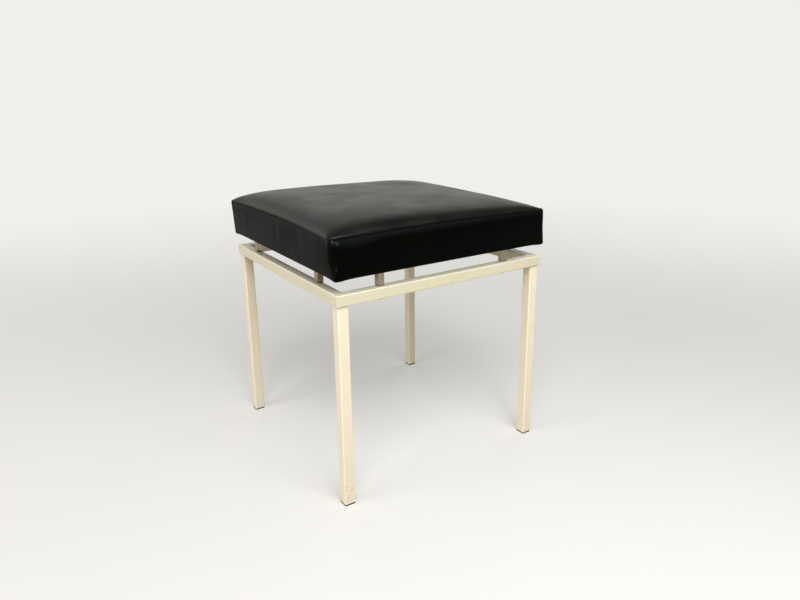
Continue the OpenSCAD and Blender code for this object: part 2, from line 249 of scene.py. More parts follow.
# Chips and pale marks seen in the photo: place in metres, radius in millimetres
LEG_CHIPS = [
    ((-0.2191, -0.2221, 0.0374), 1.1),
    ((-0.2073, -0.2221, 0.0313), 1.2),
    ((-0.2199, -0.2221, 0.0317), 0.9),
    ((-0.2094, -0.2221, 0.0271), 1.1),
    ((-0.2158, -0.2221, 0.0161), 1.0),
    ((0.2059, -0.2221, 0.0071), 1.2),
]
RAIL_MARKS = [
    ((-0.2251, -0.2146, 0.3780), 1.7),
    ((-0.2251, -0.2140, 0.3716), 1.9),
]


def cream_paint(name, shades, edge, chips, pale_marks, joint=False):
    """Semi-gloss enamel on tube, with a painted highlight that makes it paler along its edges. A joint gets
    painted shade under the rails.
    """
    paint = Finish(name)
    worn = edge(paint).rise(*EDGE_ZONE) * paint.grain(WEAR_SPOT).rise(0.70, 0.76)
    worn = worn * paint.grain(WEAR_PATCH, 1.0).rise(0.50, 0.62)
    ragged = paint.grain(RAGGED_SIZE)
    for place, radius in chips:
        chip = paint.spot(place, radius * MM * 1.8, 1.0) + 1.6 * ragged
        worn = worn.math("MAXIMUM", chip.rise(1.32, 1.52))
    # Painted highlight: the edges are painted paler, and the pale marks are laid in with them
    pale = edge(paint).rise(*EDGE_ZONE) * 0.45
    for place, radius in pale_marks:
        pale = pale.math("MAXIMUM", (paint.spot(place, radius * MM, 1.0) + ragged).rise(0.75, 1.0))
    cloud = paint.grain(CLOUD_SIZE, 3.0)
    colour = paint.blend(cloud.rise(0.35, 0.8) * 0.45, *shades)
    colour = paint.blend(pale, colour, HIGHLIGHT_AND_SCUFF_TONE)
    if joint:
        # Painted shade: the top of a leg is darkened just under the rails
        under_rail_shade = paint.z.rise(*(rail_low.z - below for below in JOINT_ZONE))
        colour = paint.blend(under_rail_shade * (0.45 + 0.4 * ragged), colour, UNDER_RAIL_SHADE_TONE)
    colour = paint.blend(worn, colour, CHIP_TONE)
    peel = paint.grain(PEEL_SIZE, 2.0, 0.4)
    brush = paint.grain(BRUSH_SIZE, 2.0, 0.4)
    relief = peel * 0.35 + brush * 0.65 - worn * 1.2
    rough = 0.22 + 0.08 * cloud + 0.30 * worn
    return paint.coat(
        Base_Color=colour, Roughness=rough, Normal=paint.bump(relief, PAINT_RELIEF), Specular_IOR_Level=0.5,
    )


def leg_edge(paint):
    """Distance from a leg's middle line towards the nearer two of its faces."""
    across = abs(abs(paint.x) - leg_centre)
    along = abs(abs(paint.y) - leg_centre)
    return across.math("MINIMUM", along)


def rail_edge(paint):
    """Distance from the middle line of the ring of rails towards the nearer two of a rail's faces."""
    ring_middle = ring_half - tube / 2
    across = abs(abs(paint.x).math("MAXIMUM", abs(paint.y)) - ring_middle)
    upright = abs(paint.z - (rail_high.z - tube / 2))
    return across.math("MINIMUM", upright)


CAP_SHADES = rgb(0.004, 0.0036, 0.003), rgb(0.03, 0.027, 0.022)
CAP_DUST = 3 * MM
CAP_GRAIN = 0.8 * MM
CAP_RELIEF = 0.04 * MM


def black_plastic():
    """Matt black plastic with a little dust."""
    cap = Finish("cap_plastic")
    dust = cap.grain(CAP_DUST, 3.0).rise(0.5, 0.8)
    return cap.coat(
        Base_Color=cap.blend(dust * 0.3, *CAP_SHADES), Roughness=0.5 + 0.2 * dust,
        Normal=cap.bump(cap.grain(CAP_GRAIN), CAP_RELIEF), Specular_IOR_Level=0.25,
    )


NICKEL_SHADES = rgb(0.34, 0.295, 0.21), rgb(0.19, 0.14, 0.08)
POLISH_LINE = 0.5 * MM
POLISH_RELIEF = 0.012 * MM
TARNISH_SIZE = 6 * MM
# How far from a spacer's middle the tarnish of its ends begins and is full
TARNISHED_END = (9 * MM, 13 * MM)


def nickel_plate():
    """Dulled plate: upright polishing lines, with a warm tarnish that gathers near the ends."""
    plate = Finish("nickel_plate")
    lines = plate.grain(POLISH_LINE, 2.0, 0.6, stretch=(1, 1, 0.04))
    tarnish = plate.grain(TARNISH_SIZE, 3.0).rise(0.42, 0.75)
    ends = abs(plate.z - (spacer_low.z + spacer_high.z) / 2).rise(*TARNISHED_END)
    stain = (tarnish * 0.6 + ends * 0.5).math("MINIMUM", 1.0)
    return plate.coat(
        Base_Color=plate.blend(stain, *NICKEL_SHADES), Metallic=1.0,
        Roughness=0.16 + 0.10 * lines + 0.16 * stain, Normal=plate.bump(lines, POLISH_RELIEF),
    )


ZINC_GRIME = rgb(0.22, 0.19, 0.14)
ZINC_RELIEF = 0.02 * MM


def zinc_plate(name, bright, size):
    """Zinc with spangles about `size` metres across, and grime in patches."""
    plate = Finish(name)
    spangle = plate.cells(size, output="Color")
    grey = plate.node("ShaderNodeSeparateColor", values={0: spangle})
    grime = plate.grain(2 * size, 3.0).rise(0.45, 0.75)
    colour = plate.blend(grey, rgb(*(0.8 * bright,) * 3), rgb(bright, bright, 0.94 * bright))
    colour = plate.blend(grime * 0.5, colour, ZINC_GRIME)
    return plate.coat(
        Base_Color=colour, Metallic=1.0, Roughness=0.28 + 0.25 * grime,
        Normal=plate.bump(plate.grain(size), ZINC_RELIEF),
    )


PLY_SHADES = rgb(0.66, 0.47, 0.27), rgb(0.50, 0.33, 0.17)
GLUE_SHADE = rgb(0.30, 0.18, 0.09)
PORE_SHADE = rgb(0.25, 0.15, 0.08)
PLY_PITCH = 1.5 * MM
FIGURE_SIZE = 7 * MM
PORE_SIZE = 0.9 * MM
PLY_RELIEF = 0.15 * MM


def plywood():
    """Birch ply: plies stacked along Z, grain along X on the faces."""
    ply = Finish("birch_ply")
    layer = (ply.z / PLY_PITCH).math("PINGPONG", 1.0)
    figure = ply.grain(FIGURE_SIZE, 4.0, 0.6, stretch=(0.06, 1, 1))
    pores = ply.grain(PORE_SIZE, 2.0, 0.6, stretch=(0.05, 1, 1)).rise(0.55, 0.7)
    colour = ply.blend(figure, *PLY_SHADES)
    colour = ply.blend(layer.rise(0.62, 0.75) * 0.5, colour, GLUE_SHADE)
    colour = ply.blend(pores * 0.4, colour, PORE_SHADE)
    rough = 0.62 + 0.2 * pores
    return ply.coat(Base_Color=colour, Roughness=rough, Normal=ply.bump(figure, PLY_RELIEF))


# Scuffs and flecks on the leatherette seen in the photo, the first two a painted highlight where a gathered
# fold by the front left corner catches light: place in metres, radius in millimetres, strength
SCUFFS_AND_FOLD_HIGHLIGHTS = [
    ((-0.2275, -0.2255, 0.4725), 5.5, 0.70),
    ((-0.2200, -0.2255, 0.4710), 6.0, 0.60),
    ((-0.2340, -0.2196, 0.4752), 2.5, 0.55),
    ((-0.1996, -0.2152, 0.4790), 2.5, 0.55),
    ((-0.1634, -0.2268, 0.4625), 1.4, 0.50),
]
# A painted bluish glint low on the front left corner and a painted bluish sheen under the front seam: place
# in metres, radius in millimetres, stretch of its height, colour
PAINTED_GLINT_AND_SHEEN = [
    ((-0.2252, -0.2262, 0.4295), 6.0, 0.6, rgb(0.060, 0.072, 0.084)),
    ((-0.1900, -0.2270, 0.4700), 75.0, 6.0, rgb(0.0042, 0.0062, 0.0082)),
]
# The greyed middle of the seat: place and radius in metres, size of its lumps
SMUDGED_PLACE = (-0.005, 0.035, 0.500)
SMUDGE_RADIUS = 140 * MM
SMUDGE_LUMPS = 24 * MM
SCUFF_STREAK = 2.6 * MM
PEBBLE_SIZE = 1.1 * MM
FINE_SIZE = 0.45 * MM
PEBBLE_RELIEF = 0.06 * MM
CREASE_SIZE = 2.6 * MM
RUBBED_SIZE = 70 * MM
# Heights from the seam between which the border gets a painted sheen, paler just under the seam
SHEEN_BAND_HEIGHTS = (-14 * MM, 2 * MM)
HIDE_SHADES = rgb(0.0006, 0.0006, 0.0004), rgb(0.0060, 0.0058, 0.0048)
PAINTED_SHEEN_SHADE = rgb(0.020, 0.0205, 0.0195)
SMUDGE_SHADE = rgb(0.029, 0.0298, 0.028)
# Tone of the scuffs and flecks, and of the painted fold highlight
SCUFF_AND_HIGHLIGHT_SHADE = rgb(0.16, 0.17, 0.17)


def leatherette(name, dulled, shine, tint, painted_sheen=0.0):
    """Vinyl with a fine pebble grain. Use has greyed it by `dulled`, and the last argument paints a paler
    sheen on the border just under the seam.
    """
    hide = Finish(name)
    pebble = hide.cells(PEBBLE_SIZE, "SMOOTH_F1")
    fine = hide.grain(FINE_SIZE, 2.0, 0.6)
    crease = hide.cells(CREASE_SIZE, "DISTANCE_TO_EDGE").rise(0.10, 0.0)
    rubbed = hide.grain(RUBBED_SIZE, 3.0, 0.55).rise(0.35, 0.75)
    streak = hide.grain(SCUFF_STREAK, 4.0, 0.75).rise(0.46, 0.62)
    scuff_and_highlight = rubbed * 0
    # Scuffs and flecks, and a painted highlight on a gathered fold by the front left corner
    for place, radius, strength in SCUFFS_AND_FOLD_HIGHLIGHTS:
        scuff_and_highlight = scuff_and_highlight.math("MAXIMUM", hide.spot(place, radius * MM, 0.9) * streak * strength)
    colour = hide.blend(rubbed * dulled, *HIDE_SHADES)
    # Painted sheen: a paler band on the border just under the seam
    sheen_band = hide.z.rise(*(seam_z + above for above in SHEEN_BAND_HEIGHTS))
    colour = hide.blend(sheen_band * painted_sheen, colour, PAINTED_SHEEN_SHADE)
    # Painted glint and painted sheen, laid into the base colour
    for place, radius, squat, painted_light_tone in PAINTED_GLINT_AND_SHEEN:
        colour = hide.blend(hide.spot(place, radius * MM, 1.0, (1, 1, squat)) * 0.9, colour, painted_light_tone)
    smudge = hide.spot(SMUDGED_PLACE, SMUDGE_RADIUS, 1.0)
    smudge = smudge * hide.grain(SMUDGE_LUMPS, 4.0, 0.65).rise(0.34, 0.72)
    colour = hide.blend(smudge * 0.7, colour, SMUDGE_SHADE)
    colour = hide.blend(scuff_and_highlight, colour, SCUFF_AND_HIGHLIGHT_SHADE)
    rough = 0.33 + 0.08 * rubbed + 0.05 * fine + 0.15 * scuff_and_highlight
    normal = hide.bump(pebble * 0.6 + fine * 0.25 - crease * 0.35, PEBBLE_RELIEF)
    return hide.coat(
        Base_Color=colour, Roughness=rough, Normal=normal, Specular_IOR_Level=shine, Specular_Tint=tint,
    )


FIBRE_SHADES = rgb(0.006, 0.006, 0.0065), rgb(0.028, 0.028, 0.03)
POINT_SHADE = rgb(0.010, 0.010, 0.011)
POINT_PITCH = 1.8 * MM
FIBRE_SIZE = 0.7 * MM
CLOTH_CLOUD = 12 * MM
CLOTH_RELIEF = 0.1 * MM


def spunbond():
    """Black non-woven cloth with its grid of pressed points."""
    cloth = Finish("spunbond_cloth")
    turned = [cloth.x + cloth.y, cloth.x - cloth.y]
    press = [(value / POINT_PITCH).math("PINGPONG", 0.5) for value in turned]
    point = press[0].rise(0.30, 0.45) * press[1].rise(0.30, 0.45)
    fibre = cloth.grain(FIBRE_SIZE, 4.0, 0.7)
    cloud = cloth.grain(CLOTH_CLOUD)
    colour = cloth.blend(fibre.rise(0.3, 0.8) * 0.7, *FIBRE_SHADES)
    colour = cloth.blend(point * 0.5, colour, POINT_SHADE)
    relief = cloth.bump(fibre * 0.6 + cloud * 0.5 - point * 0.8, CLOTH_RELIEF)
    return cloth.coat(Base_Color=colour, Roughness=0.72 - 0.25 * point, Normal=relief)


leg_enamel = cream_paint("leg_enamel", LEG_CREAM, leg_edge, LEG_CHIPS, [], joint=True)
rail_enamel = cream_paint("rail_enamel", SHADED_RAIL_CREAM, rail_edge, [], RAIL_MARKS)
cap_plastic = black_plastic()
nickel = nickel_plate()
screw_zinc = zinc_plate("screw_zinc", 0.42, 1.5 * MM)
staple_zinc = zinc_plate("staple_zinc", 0.55, 1.0 * MM)
birch_ply = plywood()
seat_leatherette = leatherette("seat_leatherette", 0.9, 0.60, rgb(0.98, 1.0, 0.93))
border_leatherette = leatherette("border_leatherette", 0.06, 0.031, rgb(1.0, 0.93, 0.80), 0.36)
piping_leatherette = leatherette("piping_leatherette", 0.3, 0.12, rgb(1.0, 0.98, 0.92))
dust_cloth = spunbond()

# Which finish a CAD node wears, by a word of its name
CAD_FINISHES = {
    "rail": rail_enamel,
    "leg_": leg_enamel,
    "foot_cap": cap_plastic,
    "spacer": nickel,
    "washers": screw_zinc,
    "seat_board": birch_ply,
}


def finish_cad_nodes():
    for name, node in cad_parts.items():
        for word, material in CAD_FINISHES.items():
            if word in name:
                node.data.materials.clear()
                node.data.materials.append(material)


finish_cad_nodes()


def add_piece(name, points, faces, material, smooth=True):
    """A closed mesh piece with its faces outwards."""
    mesh = bpy.data.meshes.new(name)
    mesh.from_pydata(np.asarray(points).tolist(), [], faces)
    shape = bmesh.new()
    shape.from_mesh(mesh)
    bmesh.ops.recalc_face_normals(shape, faces=shape.faces)
    shape.to_mesh(mesh)
    shape.free()
    mesh.materials.append(material)
    if smooth:
        mesh.shade_smooth()
    piece = bpy.data.objects.new(name, mesh)
    scene.collection.objects.link(piece)
    return piece


def grid_faces(rows, columns, loop=False, start=0, close=False):
    """Quads between rows of points; loop joins each row's ends, and close the last row to the first."""
    faces = []
    for row in range(rows if close else rows - 1):
        low = start + row * columns
        high = start + (row + 1) % rows * columns
        for column in range(columns if loop else columns - 1):
            after = (column + 1) % columns
            faces.append((low + column, low + after, high + after, high + column))
    return faces


# Cushion, in metres. Its base comes from the frame, and these shape it as the photo shows.
# How far in from the border's face the top panel ends and the piping lies
PANEL_IN = 2.5 * MM
PIPING_IN = 1.8 * MM
# How far the border tucks in under the piping, and its shoulder falls in towards it
BORDER_TUCK = 1.6 * MM
BORDER_TUCK_RUN = 1.3 * MM
BORDER_TOP = 1.3 * MM
SHOULDER_IN = 2.0 * MM
SHOULDER_RUN = 6 * MM
# How far the seam bows up, and is drawn in, between its corners
SEAM_BOW = 2.5 * MM
SIDE_DRAW = 2.6 * MM
# Radii of the upright corners below and at the seam, and of the turned lower edge
BASE_CORNER = 5 * MM
SEAM_CORNER = 5 * MM
TURN_ROUND = 3.5 * MM
TURN_ANGLES = (15, 30, 45, 60, 75, 90)
# Where the cover lies under the board, in from its edge
UNDER_STEPS = [inset * MM for inset in (4.5, 5.5, 7, 10, 15, 23, 32, 42)]
# How far the lower edge hangs, and how much more at the corners
LIP_HANG = 2.0 * MM
LIP_IN = 1.7 * MM
CORNER_HANG = 2.0 * MM
HANG_RUN = 20 * MM
# How far the border bellies out halfway up
BELLY = 1.2 * MM
# At the corners the border meets the piping flush, and near them the top springs up at once
FLUSH_RUN = 10 * MM
SPRING_RUN = 6 * MM
SPRING_CORNER = 35 * MM
# How far the left side falls back beside the front left upright corner, and over what run
FALL_BACK = 4.4 * MM
FALL_BACK_RUN = 56 * MM
# How much rounder the upright corners are halfway down, the front left one most of all
CORNER_SWELL = 5 * MM
FRONT_LEFT_SWELL = 12 * MM
# How flat the crown is, how steep its shoulders are, and how it leans to the back left
EDGE_POWER = 4.7
SWELL_POWER = 0.385
CROWN_LEAN = 0.123
CROWN_TWIST = 0.058
# How corners stand off the square, in millimetres, by the signs of their X and Y, and how fast that fades
SEAM_MOVES = {(-1, -1): (-10.2, 2.4, -0.7), (-1, 1): (-6.2, 3.9, 2.8), (1, -1): (1.9, -0.9, -1.9)}
BASE_MOVES = {(-1, -1): (-1.0, 0.0, 0.0), (-1, 1): (-3.0, 2.0, 2.0), (1, -1): (5.0, -1.0, -0.6)}
LEAN_POWER = 2.33
# Stations along a side and rows up the border, for the finished cover and for the cloth pass
FINE = 192
COARSE = 72
SIDE_ROWS = 40
COARSE_ROWS = 14
LIP_ROWS = 6
CROWDING = 0.42

crown = crown_high.z - seam_z - SEAM_BOW


def ease(run):
    """Crowds even stations from -1 to 1 towards both ends."""
    return run + CROWDING * run * (1 - run * run)


def round_square(count):
    """Stations on a square of half side 1, count a side, from its front left corner to the right."""
    run = ease(np.arange(count) * 2 / count - 1)
    one = np.ones(count)
    return np.concatenate([run, one, -run, -one]), np.concatenate([-one, run, one, -run])


def outline(x, y, inset, corner, half=(half_x, half_y)):
    """Plan of stations of the unit square on a rectangle with round corners, the cushion's as a rule."""
    reach_x, reach_y = half[0] - inset, half[1] - inset
    across, along = x * reach_x, y * reach_y
    over_x, over_y = abs(across) - reach_x + corner, abs(along) - reach_y + corner
    turning = (over_x > 0) & (over_y > 0)
    pull = np.where(turning, corner / np.maximum(np.hypot(over_x, over_y), corner), 1.0)
    across = np.where(turning, np.sign(across) * (reach_x - corner + over_x * pull), across)
    along = np.where(turning, np.sign(along) * (reach_y - corner + over_y * pull), along)
    return across, along


def moved(x, y, moves):
    """How far the corners' own moves carry a point of the unit square."""
    total = np.zeros(x.shape + (3,))
    for (side_x, side_y), move in moves.items():
        near = ((1 + side_x * x) * (1 + side_y * y) / 4) ** LEAN_POWER
        total += near[..., None] * np.array(move) * MM
    return total


def seam_height(x, y):
    """Height of the seam, carried on over the whole square."""
    return seam_z + SEAM_BOW * (1 - x**2 * y**2)


def from_corner(x, y):
    """Distance of a station of the square's edge from its nearest corner, carried on inwards."""
    return (1 - np.minimum(abs(x), abs(y))) * half_x


def hill(distance, run):
    """1 at no distance, falling to nothing over a few runs."""
    return np.exp(-((distance / run) ** 2))


def swell(x, y):
    """0 at the seam and 1 in the middle. Away from the corners it leaves the seam as a slope."""
    full = ((1 - abs(x) ** EDGE_POWER) * (1 - abs(y) ** EDGE_POWER)) ** SWELL_POWER
    from_side = (1 - np.maximum(abs(x), abs(y))) * half_x
    sloped = 1 - hill(from_corner(x, y), SPRING_CORNER)
    return full * (1 - sloped * np.exp(-from_side / SPRING_RUN))


def top_surface(count):
    """The crowned top panel as a grid of points over the unit square."""
    run = ease(np.arange(count + 1) * 2 / count - 1)
    x, y = np.meshgrid(run, run)
    ring = np.maximum(np.maximum(abs(x), abs(y)), 1e-9)
    square = x * (half_x - PANEL_IN), y * (half_y - PANEL_IN)
    rounded = outline(x / ring, y / ring, PANEL_IN, SEAM_CORNER)
    fade = np.clip((ring - 0.75) / 0.25, 0, 1) ** 2
    across = square[0] + fade * (rounded[0] * ring - square[0]) - x * SIDE_DRAW * (1 - y * y)
    along = square[1] + fade * (rounded[1] * ring - square[1]) - y * SIDE_DRAW * (1 - x * x)
    tuck = 0.4 * MM * (ring >= 1)
    fullness = 1 + CROWN_LEAN * (y - x) + CROWN_TWIST * x * y
    height = seam_height(x, y) + crown * swell(x, y) * fullness - tuck
    return np.stack([across, along, height], -1) + moved(x, y, SEAM_MOVES), x, y


def side_profile(rows):
    """Shares of the border's height, crowded towards the seam."""
    even = np.arange(rows + 1) / rows
    return 0.35 * even + 0.65 * np.sin(even * math.pi / 2)


def side_surface(count, rows):
    """The border from its lower edge up to the piping, as rows of stations."""
    x, y = round_square(count)
    hang = LIP_HANG + CORNER_HANG * hill(from_corner(x, y), HANG_RUN)
    high = seam_height(x, y) - BORDER_TOP
    low = base_z + TURN_ROUND - hang
    rounder = np.where((x < 0) & (y < 0), FRONT_LEFT_SWELL, CORNER_SWELL)
    flush = 1 - hill(from_corner(x, y), FLUSH_RUN)
    near_front = np.clip(1 - (1 + y) * half_y / FALL_BACK_RUN, 0, 1) ** 2
    near_left = np.clip(1 - (1 + x) * half_x / FALL_BACK_RUN, 0, 1) ** 2
    made = []
    for share in side_profile(rows):
        below = (high - low) * (1 - share)
        bulge = math.sin(math.pi * share)
        inset = BORDER_TUCK * hill(below, BORDER_TUCK_RUN)
        inset += SHOULDER_IN * np.exp(-below / SHOULDER_RUN)
        inset = inset * flush - BELLY * bulge**0.8
        corner = BASE_CORNER + (SEAM_CORNER - BASE_CORNER) * share + rounder * bulge**1.2
        across, along = outline(x, y, inset, corner)
        draw = SIDE_DRAW * share**2
        across = across - x * draw * (1 - y * y)
        across = across + FALL_BACK * near_front * near_left * bulge**0.8
        along = along - y * draw * (1 - x * x)
        lean = share * moved(x, y, SEAM_MOVES) + (1 - share) * moved(x, y, BASE_MOVES)
        made.append(np.stack([across, along, low + (high - low) * share], -1) + lean)
    return np.array(made), x, y, hang


def under_surface(x, y, hang):
    """The border's lower edge and the part that is turned under the board."""
    made = []
    lean = moved(x, y, BASE_MOVES)
    level = np.array([1.0, 1.0, 0.0])
    for angle in np.radians(TURN_ANGLES):
        across, along = outline(x, y, TURN_ROUND * (1 - math.cos(angle)), BASE_CORNER)
        height = base_z - hang + TURN_ROUND * (1 - math.sin(angle))
        made.append(np.stack([across, along, height], -1) + lean)
    for inset in UNDER_STEPS:
        across, along = outline(x, y, inset, BASE_CORNER)
        settle = hill(inset - TURN_ROUND, LIP_IN)
        height = base_z - hang * settle
        made.append(np.stack([across, along, height + 0 * x], -1) + lean * level * settle)
    return np.array(made)


def cubic_weights(coarse, fine, loop=False):
    """Carries values at coarse even stations to fine ones along Catmull-Rom curves."""
    stations = fine if loop else fine + 1
    at = np.arange(stations) * coarse / fine
    cell = np.minimum(at.astype(int), coarse - 1)
    part = at - cell
    shares = [
        (-part + 2 * part**2 - part**3) / 2,
        (2 - 5 * part**2 + 3 * part**3) / 2,
        (part + 4 * part**2 - 3 * part**3) / 2,
        (part**3 - part**2) / 2,
    ]
    table = np.zeros((stations, coarse if loop else coarse + 1))
    for shift, share in zip((-1, 0, 1, 2), shares):
        column = (cell + shift) % coarse if loop else np.clip(cell + shift, 0, coarse)
        np.add.at(table, (np.arange(stations), column), share)
    return table


def border_edge(count):
    """Indices of the top grid's outer points, in the stations' order."""
    line = np.arange(count)
    width = count + 1
    edge = [line, line * width + count, count * width + count - line, (count - line) * width]
    return np.concatenate(edge).tolist()


def cover_faces(count, side_rows, under_rows):
    """Faces of top, border and turned edge, sewn together, and the first points of the last two."""
    stations = 4 * count
    first_side = (count + 1) ** 2
    first_under = first_side + side_rows * stations
    last_side = first_under - stations
    edge = border_edge(count)
    faces = grid_faces(count + 1, count + 1)
    faces += grid_faces(side_rows, stations, True, first_side)
    for i in range(stations):
        after = (i + 1) % stations
        faces.append((last_side + i, last_side + after, edge[after], edge[i]))
        faces.append((first_under + i, first_under + after, first_side + after, first_side + i))
    for a, b, c, d in grid_faces(under_rows, stations, True, first_under):
        faces.append((d, c, b, a))
    return faces, first_side, first_under


# Cloth pass: pressure, extra cloth, how long it settles, and how much of the creases is kept
PRESSURE = 4.0
EXTRA_CLOTH = 0.002
SETTLE_FRAMES = 20
CREASE_SHARE = 0.12
SETTLE_CAP = 1.0 * MM
CLOTH = {
    "quality": 6, "mass": 0.4, "tension_stiffness": 30, "compression_stiffness": 30,
    "shear_stiffness": 15, "bending_stiffness": 1.5, "use_pressure": True,
    "uniform_pressure_force": PRESSURE, "vertex_group_mass": "sewn", "shrink_min": -EXTRA_CLOTH,
}


def settle_cover():
    """Lets the sewn cover fill out under pressure; returns how its panels' points move."""
    top, _, _ = top_surface(COARSE)
    side, x, y, hang = side_surface(COARSE, COARSE_ROWS)
    under = under_surface(x, y, hang)[:LIP_ROWS]
    stations = 4 * COARSE
    points = np.concatenate([top.reshape(-1, 3), side[:-1].reshape(-1, 3), under.reshape(-1, 3)])
    faces, first_side, first_under = cover_faces(COARSE, COARSE_ROWS, len(under))
    mesh = bpy.data.meshes.new("cover_trial")
    mesh.from_pydata(points.tolist(), [], faces)
    trial = bpy.data.objects.new("cover_trial", mesh)
    scene.collection.objects.link(trial)
    sewn = trial.vertex_groups.new(name="sewn")
    held = border_edge(COARSE) + list(range(first_under + 2 * stations, len(points)))
    sewn.add(held, 1.0, "REPLACE")
    cloth = trial.modifiers.new("settle", "CLOTH")
    for name, value in CLOTH.items():
        setattr(cloth.settings, name, value)
    cloth.settings.effector_weights.gravity = 0
    cloth.collision_settings.use_collision = False
    cloth.point_cache.frame_start = 1
    cloth.point_cache.frame_end = SETTLE_FRAMES
    for step in range(1, SETTLE_FRAMES + 1):
        scene.frame_set(step)
    settled = trial.evaluated_get(bpy.context.evaluated_depsgraph_get()).to_mesh()
    after = np.zeros(len(points) * 3)
    settled.vertices.foreach_get("co", after)
    bpy.data.objects.remove(trial)
    scene.frame_set(1)
    shift = after.reshape(-1, 3) - points
    print("cover settled by up to", round(float(abs(shift).max()) / MM, 1), "mm")
    side_shift = np.zeros((COARSE_ROWS + 1, stations, 3))
    side_shift[:-1] = shift[first_side:first_under].reshape(COARSE_ROWS, stations, 3)
    return shift[:first_side].reshape(COARSE + 1, COARSE + 1, 3), side_shift


def smoothed(values, passes, loop):
    """Evens a grid of vectors out over its neighbours."""
    for _ in range(passes):
        wide = np.pad(values, ((1, 1), (0, 0), (0, 0)), "edge")
        values = (wide[:-2] + 2 * wide[1:-1] + wide[2:]) / 4
        wide = np.pad(values, ((0, 0), (1, 1), (0, 0)), "wrap" if loop else "edge")
        values = (wide[:, :-2] + 2 * wide[:, 1:-1] + wide[:, 2:]) / 4
    return values


def creases_of(shift, loop):
    """The wrinkles in a settled panel, without its overall swell, and capped."""
    creases = CREASE_SHARE * (shift - smoothed(shift, 40, loop))
    size = np.linalg.norm(creases, axis=-1, keepdims=True)
    return creases * np.minimum(1, SETTLE_CAP / np.maximum(size, 1e-9))


def uneven(run, waves, seed):
    """A smooth uneven wave along a run; each wave gives its length and height in millimetres."""
    chance = np.random.default_rng(seed)
    total = np.zeros_like(run)
    for length, height in waves:
        for _ in range(3):
            stretch = length * MM * chance.uniform(0.75, 1.35)
            total += height * MM / 3 * np.sin(2 * math.pi * run / stretch + chance.uniform(0, 6.28))
    return total


def normals_of(grid, loop):
    """Unit normals of a grid of points, outwards for a row order that climbs."""
    along = np.roll(grid, -1, 1) - np.roll(grid, 1, 1) if loop else np.gradient(grid, axis=1)
    normal = np.cross(along, np.gradient(grid, axis=0))
    return normal / np.maximum(np.linalg.norm(normal, axis=-1, keepdims=True), 1e-12)


# Waves along a surface, as lengths and heights in millimetres: the top's puckers and its padding,
# the border's wrinkles, the piping's thickness, height and path, and the dust cover's slack. The
# thickness alone has its heights in thousandths of the piping's radius.
PUCKER_WAVES = (42, 0.10), (19, 0.06)
ACROSS_WAVES = (190, 0.35), (110, 0.2)
ALONG_WAVES = (160, 0.35), (90, 0.2)
WRINKLE_WAVES = (60, 0.10), (27, 0.03)
CORD_WAVES = (21, 30), (7, 25)
CORD_RISE_WAVES = (60, 0.35), (19, 0.12)
CORD_STRAY_WAVES = (75, 0.4), (24, 0.12)
SLACK_WAVES = (70, 0.35), (30, 0.15)
# How far in from the seam the puckers fade and are full, and how far from a corner the wrinkles are
PUCKER_FADE = 13 * MM
PUCKER_START = 2 * MM
WRINKLE_START = 9 * MM


def top_relief(x, y):
    """Puckers that run in from the seam, and the soft unevenness of the padding."""
    relief = np.zeros_like(x)
    for k, (run, depth) in enumerate(((x, 1 + y), (y, 1 - x), (-x, 1 - y), (-y, 1 + x))):
        inwards = depth * half_x
        fade = np.exp(-inwards / PUCKER_FADE) * np.clip(inwards / PUCKER_START, 0, 1)
        relief += uneven(run * half_x, PUCKER_WAVES, 11 + k) * fade
    broad = uneven(x * half_x + 0.6 * y * half_y, ACROSS_WAVES, 21)
    broad += uneven(y * half_y - 0.4 * x * half_x, ALONG_WAVES, 22)
    return relief + broad * swell(x, y)


# How wrinkled the front, right, back and left sides are, and how deep their corners' gathers
WRINKLE_SHARES = (0.45, 0.6, 0.6, 1.0)
GATHER_DEPTH = 0.3 * MM
# Gathers under the seam and over the lower edge: pitch, reach along the edge and away from it
UPPER_GATHER = 8.5 * MM, 17 * MM, 11 * MM
LOWER_GATHER = 11 * MM, 20 * MM, 9 * MM
GATHER_START = 3 * MM


def gathers(near, away, pitch, reach, depth):
    """Small folds beside a corner, by the distances from it and from the edge that they hang on."""
    folds = np.cos(2 * math.pi * near / pitch) * hill(near, reach)
    return GATHER_DEPTH * folds * np.exp(-away / depth)


def side_relief(x, y, shares):
    """Faint upright wrinkles of the border, stronger on the left, and gathers beside its corners."""
    stations = len(x)
    seat = np.concatenate([np.full(stations // 4, k) for k in range(4)])
    run = np.where(seat % 2 == 0, x, y) * half_x
    relief = np.zeros((len(shares), stations))
    near = from_corner(x, y)
    for k, strength in enumerate(WRINKLE_SHARES):
        wave = uneven(run, WRINKLE_WAVES, 31 + k) * (seat == k) * strength
        wave *= np.clip(near / WRINKLE_START, 0, 1)
        relief += wave * (0.4 + 0.6 * np.sin(math.pi * shares[:, None]) ** 0.6)
    below = (1 - shares[:, None]) * (seam_z - base_z)
    above = shares[:, None] * (seam_z - base_z)
    relief -= gathers(near, below, *UPPER_GATHER) * np.clip(below / GATHER_START, 0, 1)
    relief += gathers(near, above, *LOWER_GATHER)
    return relief


